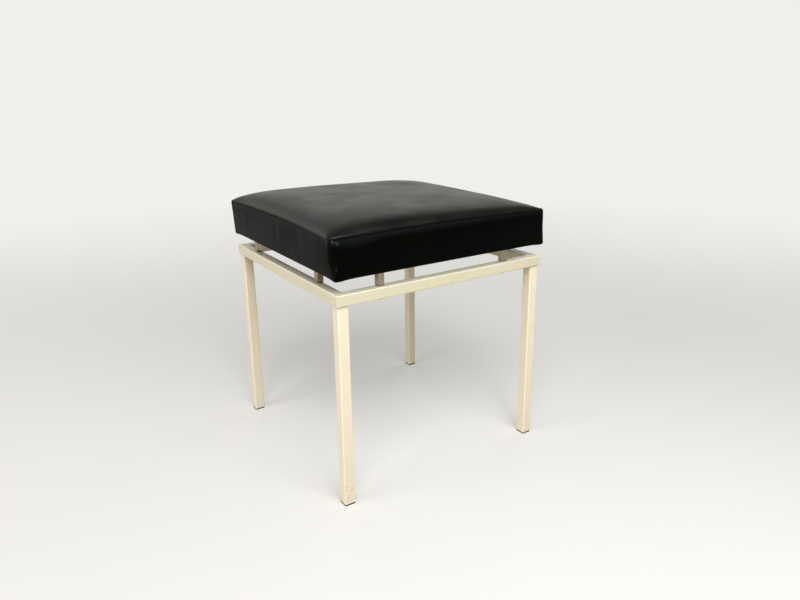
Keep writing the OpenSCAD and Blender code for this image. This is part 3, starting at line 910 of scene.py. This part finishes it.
def make_cushion():
    """The upholstered cushion as one crowned closed form."""
    top, x, y = top_surface(FINE)
    side, edge_x, edge_y, hang = side_surface(FINE, SIDE_ROWS)
    under = under_surface(edge_x, edge_y, hang)
    shares = side_profile(SIDE_ROWS)
    top += normals_of(top, False) * top_relief(x, y)[..., None]
    side += normals_of(side, True) * side_relief(edge_x, edge_y, shares)[..., None]
    top_shift, side_shift = settle_cover()
    across = cubic_weights(COARSE, FINE)
    creases = np.einsum("ai,bj,ijc->abc", across, across, creases_of(top_shift, False))
    top += creases * swell(x, y)[..., None] ** 2
    up = cubic_weights(COARSE_ROWS, SIDE_ROWS)
    round_it = cubic_weights(4 * COARSE, 4 * FINE, True)
    side += np.einsum("ai,bj,ijc->abc", up, round_it, creases_of(side_shift, True))
    points = np.concatenate([top.reshape(-1, 3), side.reshape(-1, 3), under.reshape(-1, 3)])
    faces = cover_faces(FINE, len(side), len(under))[0]
    faces.append(tuple(range(len(points) - 4 * FINE, len(points))))
    made = add_piece("seat_cushion", points, faces, seat_leatherette)
    made.data.materials.append(border_leatherette)
    on_border = [int(k >= FINE * FINE) for k in range(len(faces))]
    made.data.polygons.foreach_set("material_index", on_border)
    return made


# Piping: sides of its round, where its ends meet along the seam, how much thicker it is there
PIPING_SIDES = 12
PIPING_JOIN = 0.62
JOIN_SWELL = 0.22
JOIN_RUN = 5 * MM


def make_piping():
    """The cord-filled piping along the seam, its ends tucked together at the back."""
    x, y = round_square(FINE)
    across, along = outline(x, y, PIPING_IN, SEAM_CORNER)
    across = across - x * SIDE_DRAW * (1 - y * y)
    along = along - y * SIDE_DRAW * (1 - x * x)
    line = np.stack([across, along, seam_height(x, y)], -1) + moved(x, y, SEAM_MOVES)
    ahead = np.roll(line, -1, 0) - np.roll(line, 1, 0)
    step = np.linalg.norm(np.roll(line, -1, 0) - line, axis=-1)
    run = np.concatenate([[0], np.cumsum(step)[:-1]])
    out = np.stack([ahead[:, 1], -ahead[:, 0], 0 * run], -1)
    out /= np.linalg.norm(out, axis=-1, keepdims=True)
    thicker = JOIN_SWELL * hill(run - PIPING_JOIN * run[-1], JOIN_RUN)
    size = piping_r * (1 + uneven(run, CORD_WAVES, 51) + thicker)
    line[:, 2] += uneven(run, CORD_RISE_WAVES, 52)
    line += out * uneven(run, CORD_STRAY_WAVES, 53)[:, None]
    rings = []
    for k in range(PIPING_SIDES):
        angle = 2 * math.pi * k / PIPING_SIDES
        lift = np.zeros_like(out)
        lift[:, 2] = math.sin(angle)
        rings.append(line + size[:, None] * (math.cos(angle) * out + lift))
    faces = grid_faces(PIPING_SIDES, len(line), loop=True, close=True)
    return add_piece("seam_piping_cord", np.concatenate(rings), faces, piping_leatherette)


cushion = make_cushion()
piping = make_piping()

# Dust cover: a cloth stretched and stapled under the board, a little slack between its staples
DUST_CORNER = 12 * MM
DUST_SAG = 1.6 * MM
DUST_T = 0.35 * MM
# Its gap to the board, how deep it puckers between staples, over what run and how near its edge, and
# how much more its middle point sags
DUST_GAP = 0.1 * MM
DUST_PUCKER = 0.35 * MM
DUST_PUCKER_RUN = 14 * MM
DUST_FLAT_EDGE = 1.5 * MM
DUST_MIDDLE = 0.3 * MM
DUST_STATIONS = 60
DUST_RINGS = 36
DUST_STAPLES = 6
COVER_STAPLES = 9
# Staples: width over the crown, wire, length of the legs, radius of the bends
STAPLE_W = 10 * MM
STAPLE_WIRE = 0.8 * MM
STAPLE_LEG = 6.5 * MM
STAPLE_BEND = 0.7 * MM
STAPLE_ASKEW = math.radians(3.5)


def make_dust_cover():
    """The cloth under the board, as two layers joined along their edge."""
    x, y = round_square(DUST_STATIONS)
    reach = dust_high.x
    layers = []
    across, along = outline(x, y, 0, DUST_CORNER, (reach, reach))
    pitch = 2 * (dust_row_high.x - STAPLE_W) / (DUST_STAPLES - 1)
    run = np.where(abs(y) >= 1, across, along)
    for k in range(DUST_RINGS, 0, -1):
        share = k / DUST_RINGS
        inwards = (1 - share) * reach
        sag = DUST_SAG * (1 - (share * x) ** 2) * (1 - (share * y) ** 2)
        pucker = DUST_PUCKER * (1 - np.cos(2 * math.pi * (run / pitch + 0.5)))
        pucker = pucker * math.exp(-inwards / DUST_PUCKER_RUN) * (1 - math.exp(-inwards / DUST_FLAT_EDGE))
        slack = uneven(share * run + inwards, SLACK_WAVES, 61) * (1 - share**6)
        height = dust_high.z - DUST_GAP - sag - pucker - abs(slack)
        layers.append(np.stack([share * across, share * along, height], -1))
    upper = np.array(layers)
    middle = np.array([[0, 0, dust_high.z - DUST_SAG - DUST_MIDDLE]])
    drop = np.array([0, 0, DUST_T])
    points = np.concatenate([upper.reshape(-1, 3), middle, (upper - drop).reshape(-1, 3), middle - drop])
    stations = len(x)
    count = DUST_RINGS * stations
    faces = []
    for start in (0, count + 1):
        rows = grid_faces(DUST_RINGS, stations, True, start)
        last = start + count - stations
        rows += [(last + i, last + (i + 1) % stations, start + count) for i in range(stations)]
        faces += rows if start else [tuple(reversed(face)) for face in rows]
    for i in range(stations):
        after = (i + 1) % stations
        faces.append((i, after, count + 1 + after, count + 1 + i))
    return add_piece("underside_dust_cloth", points, faces, dust_cloth)


dust_cover = make_dust_cover()


class Pattern(Tree):
    """Geometry nodes that repeat a piece, with named inputs for their sizes."""

    def __init__(self, name, sizes):
        super().__init__(bpy.data.node_groups.new(name, "GeometryNodeTree"))
        self.sizes = sizes
        self.name = name
        face = self.tree.interface
        face.new_socket(name="Geometry", in_out="OUTPUT", socket_type="NodeSocketGeometry")
        self.keys = {}
        for label, (kind, _) in sizes.items():
            socket = face.new_socket(name=label, in_out="INPUT", socket_type="NodeSocket" + kind)
            self.keys[label] = socket.identifier
        self.given = self.tree.nodes.new("NodeGroupInput")

    def size(self, label):
        return Signal(self, self.given.outputs[label])

    def vector(self, x=0.0, y=0.0, z=0.0):
        return self.node("ShaderNodeCombineXYZ", values={0: x, 1: y, 2: z})

    def turned(self, angles):
        return self.node("FunctionNodeEulerToRotation", values={0: angles})

    def chance(self, low, high, seed):
        """An even random vector for each copy."""
        values = {0: low, 1: high, "Seed": seed}
        return self.node("FunctionNodeRandomValue", {"data_type": "FLOAT_VECTOR"}, values)

    def line(self, count, start=(0, 0, 0), step=(0, 0, 0)):
        """Points in a row."""
        values = {"Count": count, "Start Location": start, "Offset": step}
        return self.node("GeometryNodeMeshLine", {"mode": "OFFSET"}, values)

    def shape_of(self, label):
        """The shape of the object given as a size."""
        values = {0: self.size(label)}
        return self.node("GeometryNodeObjectInfo", values=values, output="Geometry")

    def copies(self, points, piece, **fit):
        """A copy of the piece on each point; `fit` may give its Rotation and Scale."""
        values = {"Points": points, "Instance": piece, **fit}
        return self.node("GeometryNodeInstanceOnPoints", values=values)

    def real(self, copies):
        return self.node("GeometryNodeRealizeInstances", values={0: copies})

    def around(self, row):
        """Carries a row of points round to the four sides of a square."""
        quarter = self.node("GeometryNodeInputIndex") * (math.pi / 2)
        return self.real(self.copies(self.line(4), row, Rotation=self.turned(self.vector(z=quarter))))

    def bake(self, geometry, material):
        """Realizes the copies, gives them the material and returns them as one plain mesh piece."""
        values = {0: self.real(geometry), "Material": material}
        done = self.node("GeometryNodeSetMaterial", values=values)
        out = self.tree.nodes.new("NodeGroupOutput")
        self.tree.links.new(done.socket, out.inputs[0])
        holder = bpy.data.objects.new(self.name, bpy.data.meshes.new(self.name))
        scene.collection.objects.link(holder)
        modifier = holder.modifiers.new(self.name, "NODES")
        modifier.node_group = self.tree
        for label, (_, value) in self.sizes.items():
            modifier[self.keys[label]] = value
        graph = bpy.context.evaluated_depsgraph_get()
        plain = bpy.data.meshes.new_from_object(holder.evaluated_get(graph))
        holder.modifiers.clear()
        holder.data = plain
        return holder


def hidden_pattern_piece(name, points, faces):
    """A small piece that a pattern copies and that doesn't show itself."""
    piece = add_piece(name, points, faces, staple_zinc)
    scene.collection.objects.unlink(piece)
    return piece


def staple_shape():
    """A wire staple, crown below and legs up, its bends rounded."""
    wire, leg, bend = STAPLE_WIRE, STAPLE_LEG, STAPLE_BEND
    half = STAPLE_W / 2 - wire / 2
    path = [(-half, leg), (-half, bend)]
    for angle in np.radians([30, 60]):
        path.append((-half + bend - bend * math.cos(angle), bend - bend * math.sin(angle)))
    path += [(bend - half, 0), (half - bend, 0)]
    for angle in np.radians([60, 30]):
        path.append((half - bend + bend * math.cos(angle), bend - bend * math.sin(angle)))
    path += [(half, bend), (half, leg)]
    path = np.array(path)
    ahead = np.gradient(path, axis=0)
    ahead /= np.linalg.norm(ahead, axis=1, keepdims=True)
    rings = []
    for (px, pz), (ax, az) in zip(path, ahead):
        side = np.array([-az, ax]) * wire * 0.42
        corners = [(1, 1), (1, -1), (-1, -1), (-1, 1)]
        rings.append([(px + side[0] * u, v * wire * 0.5, pz + side[1] * u) for u, v in corners])
    points = np.array(rings).reshape(-1, 3)
    faces = grid_faces(len(path), 4, True)
    last = len(points) - 4
    faces += [(3, 2, 1, 0), (last, last + 1, last + 2, last + 3)]
    return hidden_pattern_piece("one_staple", points, faces)


one_staple = staple_shape()


def staple_rows(name, reach, height, count, seed):
    """A row of staples along each side of a square, each a little askew."""
    rows = Pattern(name, {
        "Reach": ("Float", reach), "Height": ("Float", height), "Staple width": ("Float", STAPLE_W),
        "Count": ("Int", count), "Askew": ("Float", STAPLE_ASKEW), "Seed": ("Int", seed),
        "Staple": ("Object", one_staple),
    })
    run = rows.size("Reach") - rows.size("Staple width")
    pitch = 2 * run / (rows.size("Count") - 1)
    start = rows.vector(0 - run, 0 - rows.size("Reach"), rows.size("Height"))
    spots = rows.around(rows.line(rows.size("Count"), start, rows.vector(pitch)))
    side = (rows.node("GeometryNodeInputIndex") / rows.size("Count")).math("FLOOR")
    facing = rows.turned(rows.vector(z=side * (math.pi / 2)))
    askew = {0: rows.chance((0, 0, -1), (0, 0, 1), rows.size("Seed")), "Scale": rows.size("Askew")}
    askew = rows.turned(rows.node("ShaderNodeVectorMath", {"operation": "SCALE"}, askew))
    turned = rows.node("FunctionNodeRotateRotation", values={0: facing, 1: askew})
    return rows.bake(rows.copies(spots, rows.shape_of("Staple"), Rotation=turned), staple_zinc)


WIRE_R = STAPLE_WIRE / 2
cover_row = staple_rows(
    "cover_staple_rows", staple_row_high.x - WIRE_R, base_z + WIRE_R, COVER_STAPLES, 5)
dust_row = staple_rows(
    "dust_staple_rows", dust_row_high.x - WIRE_R, dust_low.z - WIRE_R, DUST_STAPLES, 6)

# Weld beads: length and pitch of a bead's scales, their radius, and where they sit at the joint
BEAD_LENGTH = 12 * MM
BEAD_PITCH = 1.15 * MM
BEAD_RADIUS = 1.75 * MM
BEAD_SHIFT = 1.5 * MM
BEAD_DROP = 0.35 * MM
# Smallest and largest share of that radius
BEAD_SPREAD = (0.86, 0.86, 0.86), (1.1, 1.1, 1.1)


def weld_beads():
    """Ripples of weld along the legs' inner faces under the rails, as overlapping scales."""
    beads = Pattern("leg_weld_beads", {
        "Length": ("Float", BEAD_LENGTH), "Pitch": ("Float", BEAD_PITCH),
        "Radius": ("Float", BEAD_RADIUS), "Inner face": ("Float", leg_centre - tube / 2),
        "Middle": ("Float", leg_centre + BEAD_SHIFT), "Height": ("Float", rail_low.z - BEAD_DROP),
        "Seed": ("Int", 8),
    })
    count = (beads.size("Length") / beads.size("Pitch")).math("ROUND")
    begin = beads.size("Middle") - beads.size("Length") / 2
    start = beads.vector(beads.size("Inner face"), begin, beads.size("Height"))
    line = beads.line(count, start, beads.vector(y=beads.size("Pitch")))
    index = beads.node("GeometryNodeInputIndex")
    quarter = (index / 2).math("FLOOR") * (math.pi / 2)
    other = index.math("MODULO", 2)
    turn = beads.turned(beads.vector(z=quarter + other * (math.pi / 2)))
    flip = beads.vector(1.0, 1 - 2 * other, 1.0)
    spots = beads.real(beads.copies(beads.line(8), line, Rotation=turn, Scale=flip))
    ball = {"Radius": beads.size("Radius"), "Subdivisions": 2}
    drop = beads.node("GeometryNodeMeshIcoSphere", values=ball)
    size = beads.chance(*BEAD_SPREAD, beads.size("Seed"))
    scales = beads.copies(spots, drop, Scale=size)
    return beads.bake(beads.node("GeometryNodeSetShadeSmooth", values={0: scales}), leg_enamel)


welds = weld_beads()


# Screws: radius, height and lip of the pan head, and the shank with its thread
HEAD_R = 5 * MM
HEAD_H = 3.4 * MM
HEAD_LIP = 0.6 * MM
DOME_ANGLES = (12, 26, 40, 54, 68, 80)
SHANK_R = 2.5 * MM
THREADS = 26
THREAD_END = 6 * MM
SCREW_POINT = 5 * MM
SCREW_SIDES = 32
# The cross recess: length and width of its slots, and depth
RECESS_LONG = 5.2 * MM
RECESS_WIDE = 1.2 * MM
RECESS_DEEP = 1.9 * MM


def screw_profile():
    """Radii and heights of a pan head screw that stands on its head, from below up."""
    length = screw_high.z - screw_low.z - HEAD_H
    profile = [(0.0, -HEAD_H)]
    for angle in np.radians(DOME_ANGLES):
        profile.append((HEAD_R * math.sin(angle), -HEAD_H * (0.30 + 0.70 * math.cos(angle))))
    profile += [(HEAD_R, -HEAD_LIP), (HEAD_R * 0.97, 0.0), (SHANK_R, 0.0)]
    pitch = (length - THREAD_END) / THREADS
    for k in range(THREADS):
        profile += [(SHANK_R * 0.78, (k + 0.25) * pitch), (SHANK_R, (k + 0.75) * pitch)]
    return profile + [(SHANK_R * 0.7, length - SCREW_POINT), (0.0, length)]


def cross_recess():
    """The cross that the driver turns, as two bars that narrow into the head."""
    points, faces = [], []
    quads = ((3, 2, 1, 0), (4, 5, 6, 7), (0, 1, 5, 4), (1, 2, 6, 5), (2, 3, 7, 6), (3, 0, 4, 7))
    for turned in (False, True):
        faces += [tuple(len(points) + i for i in quad) for quad in quads]
        for deep, taper in ((-1, 1.0), (1, 0.45)):
            for u, v in ((-1, -1), (1, -1), (1, 1), (-1, 1)):
                across, along = u * RECESS_LONG / 2 * taper, v * RECESS_WIDE / 2
                height = deep * RECESS_DEEP - HEAD_H
                points.append((-along, across, height) if turned else (across, along, height))
    return hidden_pattern_piece("screw_recess", points, faces)


def screw_shape():
    """A screw with its cross recess and a threaded shank."""
    profile = screw_profile()
    points = []
    for radius, height in profile[1:-1]:
        for k in range(SCREW_SIDES):
            angle = 2 * math.pi * k / SCREW_SIDES
            points.append((radius * math.cos(angle), radius * math.sin(angle), height))
    rows = len(profile) - 2
    faces = grid_faces(rows, SCREW_SIDES, True)
    points += [(0, 0, profile[0][1]), (0, 0, profile[-1][1])]
    last = (rows - 1) * SCREW_SIDES
    for k in range(SCREW_SIDES):
        after = (k + 1) % SCREW_SIDES
        faces += [(len(points) - 2, after, k), (len(points) - 1, last + k, last + after)]
    screw = hidden_pattern_piece("one_screw", points, faces)
    cutter = cross_recess()
    for piece in (screw, cutter):
        scene.collection.objects.link(piece)
    cut = screw.modifiers.new("recess", "BOOLEAN")
    cut.object = cutter
    cut.operation = "DIFFERENCE"
    cut.solver = "EXACT"
    cut.use_self = True
    graph = bpy.context.evaluated_depsgraph_get()
    plain = bpy.data.meshes.new_from_object(screw.evaluated_get(graph))
    screw.modifiers.clear()
    screw.data = plain
    plain.materials.clear()
    plain.materials.append(screw_zinc)
    bpy.data.objects.remove(cutter)
    scene.collection.objects.unlink(screw)
    return screw


def seat_screws():
    """The eight screws under the rails, each turned as the driver left it."""
    along = (spacer_low.x + spacer_high.x) / 2
    line = (spacer_low.y + spacer_high.y) / 2
    screws = Pattern("seat_screw_set", {
        "Along": ("Float", along), "Line": ("Float", line), "Height": ("Float", washer_low.z),
        "Seed": ("Int", 4), "Screw": ("Object", screw_shape()),
    })
    start = screws.vector(0 - screws.size("Along"), screws.size("Line"), screws.size("Height"))
    pair = screws.line(2, start, screws.vector(2 * screws.size("Along")))
    driven = screws.turned(screws.chance((0, 0, 0), (0, 0, math.pi), screws.size("Seed")))
    placed = screws.copies(screws.around(pair), screws.shape_of("Screw"), Rotation=driven)
    return screws.bake(placed, screw_zinc)


screws = seat_screws()

# Stage: a pale floor, a pale surround, and soft lamps
FLOOR_TONE = rgb(0.78, 0.77, 0.755)
FLOOR_BOUNCE = rgb(0.46, 0.375, 0.26)
SURROUND = rgb(0.87, 0.865, 0.835)
DIM_SIDE = rgb(0.10, 0.096, 0.09)
FILL = rgb(1.0, 0.985, 0.96)
FILL_LIGHT = 0.17
# The compass direction that a reflection finds brightest, in degrees from +X
LIT_SIDE = 90
# How squarely a reflection must look that way, and between which heights and by how much it dims
LIT_SPREAD = (0.10, 0.65)
HIGH_ZONE = (0.20, 0.62)
HIGH_DIMMING = 0.88
FLOOR_REACH = 30.0
FLOOR_FADE = (0.5, 3.2)
FLOOR_GLOW = 0.22


def looked_at(tree, *rays):
    """1 for the kinds of ray named, and 0 for the rest."""
    path = tree.node("ShaderNodeLightPath").socket.node
    seen = [Signal(tree, path.outputs[ray]) for ray in rays]
    for ray in seen[1:]:
        seen[0] = seen[0].math("MAXIMUM", ray)
    return seen[0]


def make_floor():
    """Pale to the eye, fading into the surround; the light that it throws back is dimmer and warmer."""
    paint = Finish("pale_floor")
    pale = paint.node("ShaderNodeBsdfDiffuse", values={"Color": FLOOR_TONE})
    bounce = paint.node("ShaderNodeBsdfDiffuse", values={"Color": FLOOR_BOUNCE})
    far = paint.node("ShaderNodeEmission", values={"Color": SURROUND, "Strength": 1.0})
    away = paint.node("ShaderNodeVectorMath", {"operation": "LENGTH"}, {0: paint.place}, "Value")
    seen = looked_at(paint, "Is Camera Ray", "Is Glossy Ray", "Is Transmission Ray")
    fade = (FLOOR_GLOW + (1 - FLOOR_GLOW) * away.rise(*FLOOR_FADE)) * seen
    floor_look = paint.node("ShaderNodeMixShader", values={0: seen, 1: bounce, 2: pale})
    paint.node_out(paint.node("ShaderNodeMixShader", values={0: fade, 1: floor_look, 2: far}))
    reach = FLOOR_REACH
    points = [(-reach, -reach, 0), (reach, -reach, 0), (reach, reach, 0), (-reach, reach, 0)]
    floor = add_piece("studio_floor", points, [(0, 1, 2, 3)], paint.material, smooth=False)


def make_surround():
    """An even pale surround to the eye; in reflections it is brightest behind the stool."""
    world = bpy.data.worlds.new("studio")
    scene.world = world
    world.use_nodes = True
    sky = Tree(world.node_tree)
    direction = sky.node("ShaderNodeTexCoord", output="Generated")
    axes = sky.node("ShaderNodeSeparateXYZ", values={0: direction}).socket.node
    east, north, up = (Signal(sky, socket) for socket in axes.outputs)
    towards = east * math.cos(math.radians(LIT_SIDE)) + north * math.sin(math.radians(LIT_SIDE))
    lit = towards.rise(*LIT_SPREAD) * (1 - HIGH_DIMMING * up.rise(*HIGH_ZONE))
    reflected = sky.node("ShaderNodeMix", {"data_type": "RGBA"}, {0: lit, 6: DIM_SIDE, 7: SURROUND}, 2)
    fill = sky.node("ShaderNodeBackground", values={"Color": FILL, "Strength": FILL_LIGHT})
    sheen = sky.node("ShaderNodeBackground", values={"Color": reflected, "Strength": 1.0})
    plain = sky.node("ShaderNodeBackground", values={"Color": SURROUND, "Strength": 1.0})
    shiny = looked_at(sky, "Is Glossy Ray", "Is Transmission Ray")
    mixed = sky.node("ShaderNodeMixShader", values={0: shiny, 1: fill, 2: sheen})
    mixed = sky.node("ShaderNodeMixShader", values={0: looked_at(sky, "Is Camera Ray"), 1: mixed, 2: plain})
    out = sky.tree.nodes.new("ShaderNodeOutputWorld")
    sky.tree.links.new(mixed.socket, out.inputs["Surface"])


WARM_WHITE = (1.0, 0.985, 0.95)
COOL_WHITE = (0.97, 0.985, 1.0)
LAMP_TARGET = (0, 0, 0.30)
# Lamps: name, place and side in metres, power in watts, colour, whether shiny pieces reflect it
LAMPS = [
    ("left", (-2.45, -0.10, 1.10), 1.6, 32, WARM_WHITE, True),
    ("front", (0.0, -1.40, 1.15), 0.9, 13.8, COOL_WHITE, True),
    ("high", (-0.90, -1.50, 2.40), 1.4, 42, WARM_WHITE, True),
    ("fill_right", (2.40, 0.90, 1.30), 1.4, 14, WARM_WHITE, False),
    ("fill_back", (0.10, 2.55, 1.30), 1.4, 14, WARM_WHITE, False),
]


def make_lamps():
    for name, place, side, power, colour, glare in LAMPS:
        lamp = bpy.data.lights.new(name, "AREA")
        lamp.shape = "RECTANGLE"
        lamp.size = lamp.size_y = side
        lamp.energy = power
        lamp.color = colour
        holder = bpy.data.objects.new(name, lamp)
        holder.location = place
        holder.rotation_mode = "QUATERNION"
        holder.rotation_quaternion = (Vector(LAMP_TARGET) - Vector(place)).to_track_quat("-Z", "Y")
        holder.visible_glossy = glare
        scene.collection.objects.link(holder)


make_floor()
make_surround()
make_lamps()
scene.view_settings.view_transform = "Standard"

# Each piece, the finish slot listed with it, and the CAD nodes it stands for: it rides on the root, and
# those nodes are hidden
PIECES = [
    (cushion, "leatherette", ("cover_top", "cover_border", "foam_pad", "wadding")),
    (piping, "leatherette_piping", ("seam_piping",)),
    (dust_cover, "dust_cloth", ("dust_cover",)),
    (cover_row, "staple_steel", ("cover_staples",)),
    (dust_row, "staple_steel", ("dust_cover_staples",)),
    (welds, "cream_paint", ("leg_welds",)),
    (screws, "zinc_screw", ("seat_screws",)),
]
for piece, slot, nodes in PIECES:
    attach(piece, "root")
    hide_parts(*nodes)
